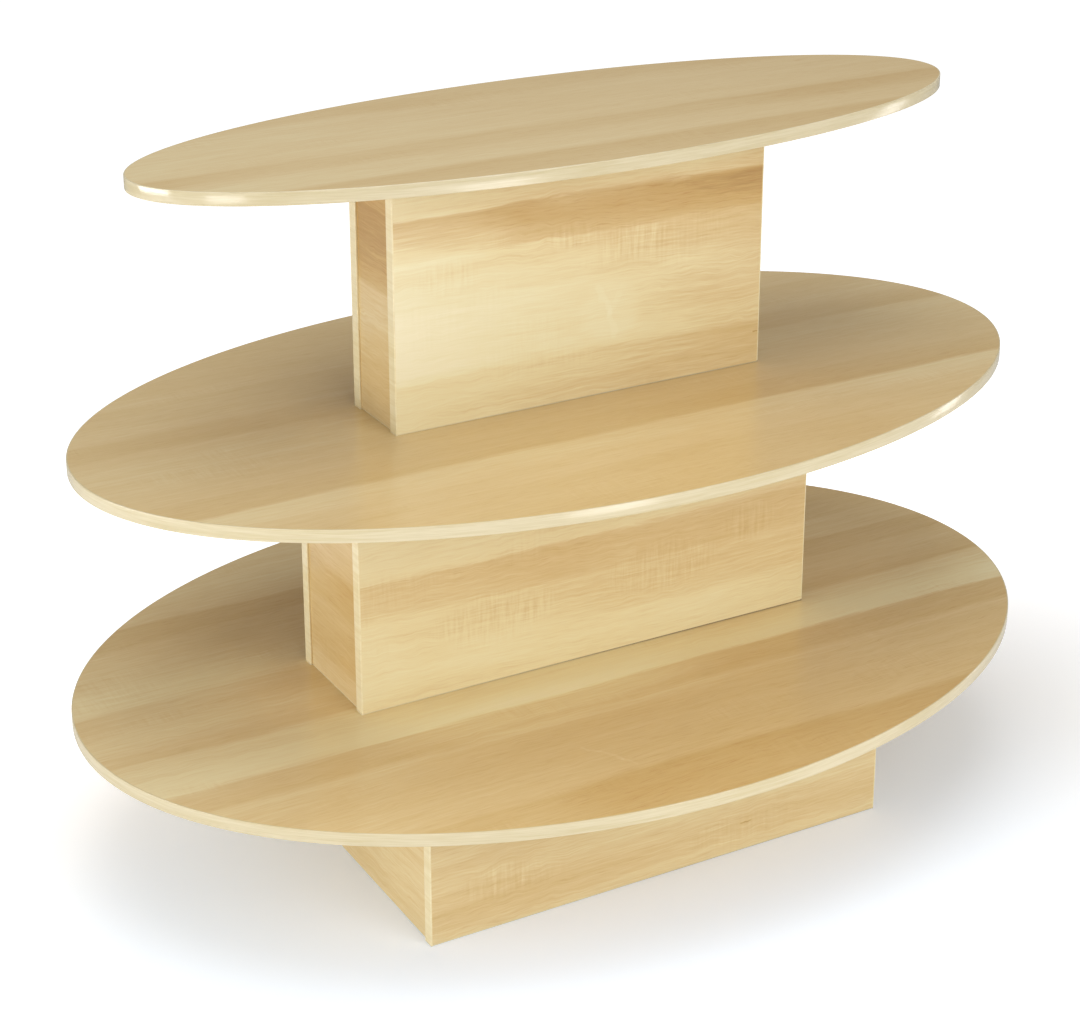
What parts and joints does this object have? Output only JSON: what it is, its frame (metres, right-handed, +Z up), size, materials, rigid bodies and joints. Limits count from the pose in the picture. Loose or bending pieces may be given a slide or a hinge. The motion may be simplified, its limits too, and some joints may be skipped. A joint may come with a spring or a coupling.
{
  "type": "tiered display table",
  "caption": "Free-standing shop display table: oval wood-effect shelves of decreasing size, one above another, on a rectangular plinth and hollow box risers.",
  "frame": {"origin": "middle of the plinth's footprint, at floor level", "axes": "+Z up, +X along the long axis of the oval shelves, -Y towards the front"},
  "size_m": [1.5239, 1.0667, 1.0795],
  "materials": {
    "maple_melamine": "light maple woodgrain melamine on particleboard, satin",
    "cream_edging": "pale cream plastic edge banding, semi-gloss",
    "softwood": "planed softwood, unfinished",
    "beech": "turned beech, unfinished",
    "zinc": "die-cast zinc, dull",
    "plated_steel": "zinc-plated steel, bright"
  },
  "bodies": {
    "root": {"bottom_shelf": "maple_melamine", "bottom_shelf_band": "cream_edging", "middle_shelf": "maple_melamine", "middle_shelf_band": "cream_edging", "top_shelf": "maple_melamine", "top_shelf_band": "cream_edging", "base_front_panel": "maple_melamine", "base_front_bands": "cream_edging", "base_rear_panel": "maple_melamine", "base_rear_bands": "cream_edging", "base_left_panel": "maple_melamine", "base_left_bands": "cream_edging", "base_right_panel": "maple_melamine", "base_right_bands": "cream_edging", "base_front_cleat": "softwood", "base_rear_cleat": "softwood", "base_left_cleat": "softwood", "base_right_cleat": "softwood", "base_cam_locks": "zinc", "base_cam_bolts": "plated_steel", "base_dowels": "beech", "base_cleat_screws": "plated_steel", "base_shelf_screws": "plated_steel", "middle_riser_front_panel": "maple_melamine", "middle_riser_front_bands": "cream_edging", "middle_riser_rear_panel": "maple_melamine", "middle_riser_rear_bands": "cream_edging", "middle_riser_left_panel": "maple_melamine", "middle_riser_left_bands": "cream_edging", "middle_riser_right_panel": "maple_melamine", "middle_riser_right_bands": "cream_edging", "middle_riser_front_cleat": "softwood", "middle_riser_rear_cleat": "softwood", "middle_riser_cam_locks": "zinc", "middle_riser_cam_bolts": "plated_steel", "middle_riser_dowels": "beech", "middle_riser_cleat_screws": "plated_steel", "middle_riser_shelf_screws": "plated_steel", "middle_riser_riser_screws": "plated_steel", "upper_riser_front_panel": "maple_melamine", "upper_riser_front_bands": "cream_edging", "upper_riser_rear_panel": "maple_melamine", "upper_riser_rear_bands": "cream_edging", "upper_riser_left_panel": "maple_melamine", "upper_riser_left_bands": "cream_edging", "upper_riser_right_panel": "maple_melamine", "upper_riser_right_bands": "cream_edging", "upper_riser_front_cleat": "softwood", "upper_riser_rear_cleat": "softwood", "upper_riser_cam_locks": "zinc", "upper_riser_cam_bolts": "plated_steel", "upper_riser_dowels": "beech", "upper_riser_cleat_screws": "plated_steel", "upper_riser_shelf_screws": "plated_steel", "upper_riser_riser_screws": "plated_steel"}
  },
  "joints": []
}
